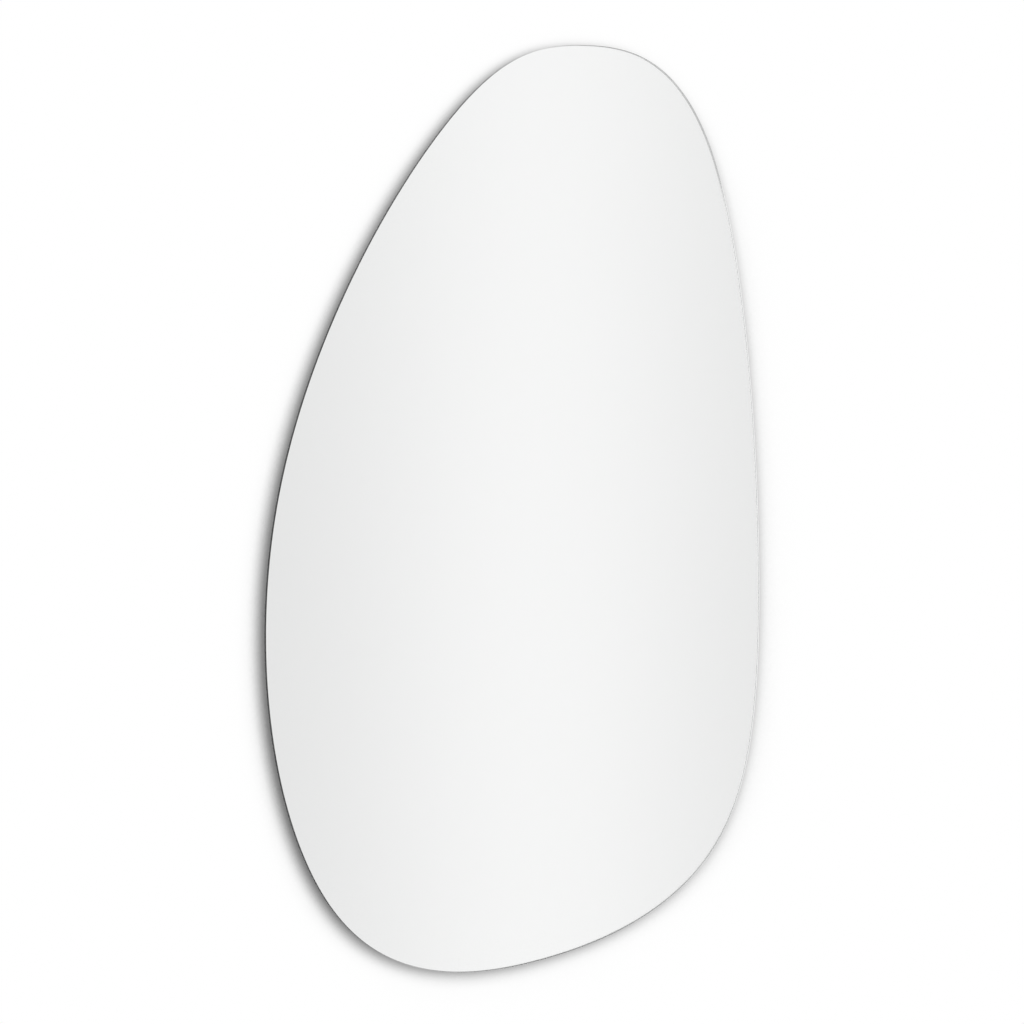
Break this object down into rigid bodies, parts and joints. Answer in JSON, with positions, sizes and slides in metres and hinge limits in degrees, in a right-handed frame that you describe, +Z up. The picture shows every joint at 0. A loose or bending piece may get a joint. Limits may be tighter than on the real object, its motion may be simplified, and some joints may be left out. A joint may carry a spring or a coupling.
{
  "type": "irregular wall mirror",
  "caption": "Frameless wall mirror with an irregular pebble outline, hung on an interlocking rail and held off the wall by rubber spacers.",
  "frame": {"origin": "on the wall plane, at the middle of the wall rail's screw line", "axes": "+X to the right as seen by someone looking into the mirror, +Z up, +Y into the wall; the mirror faces -Y"},
  "size_m": [0.6002, 0.0118, 0.8999],
  "materials": {
    "clear_glass": "clear float glass, polished edge",
    "silver": "bright silver mirror coat",
    "back_paint": "matt grey protective paint",
    "film": "matt safety film with a fine weave",
    "aluminium_rail": "mill-finish extrusion with fine lines along its length",
    "foam_tape": "dark closed-cell foam",
    "adhesive": "off-white mirror adhesive",
    "cap_plastic": "fine-textured dark grey moulding",
    "spacer_rubber": "matt black rubber"
  },
  "bodies": {
    "wall": {"wall_rail": "aluminium_rail"},
    "mirror": {"mirror_glass": "clear_glass", "silver_coating": "silver", "protective_paint": "back_paint", "safety_film": "film", "mirror_rail": "aluminium_rail", "rail_tape_upper": "foam_tape", "rail_tape_lower": "foam_tape", "rail_adhesive_bead": "adhesive", "rail_cap_left": "cap_plastic", "rail_cap_right": "cap_plastic", "spacer_left": "spacer_rubber", "spacer_right": "spacer_rubber", "spacer_pad_left": "foam_tape", "spacer_pad_right": "foam_tape"}
  },
  "joints": [
    {"name": "lift_off", "type": "slide", "parent": "wall", "child": "mirror", "axis": [0, 0, 1], "range_m": [0, 0.011]}
  ]
}
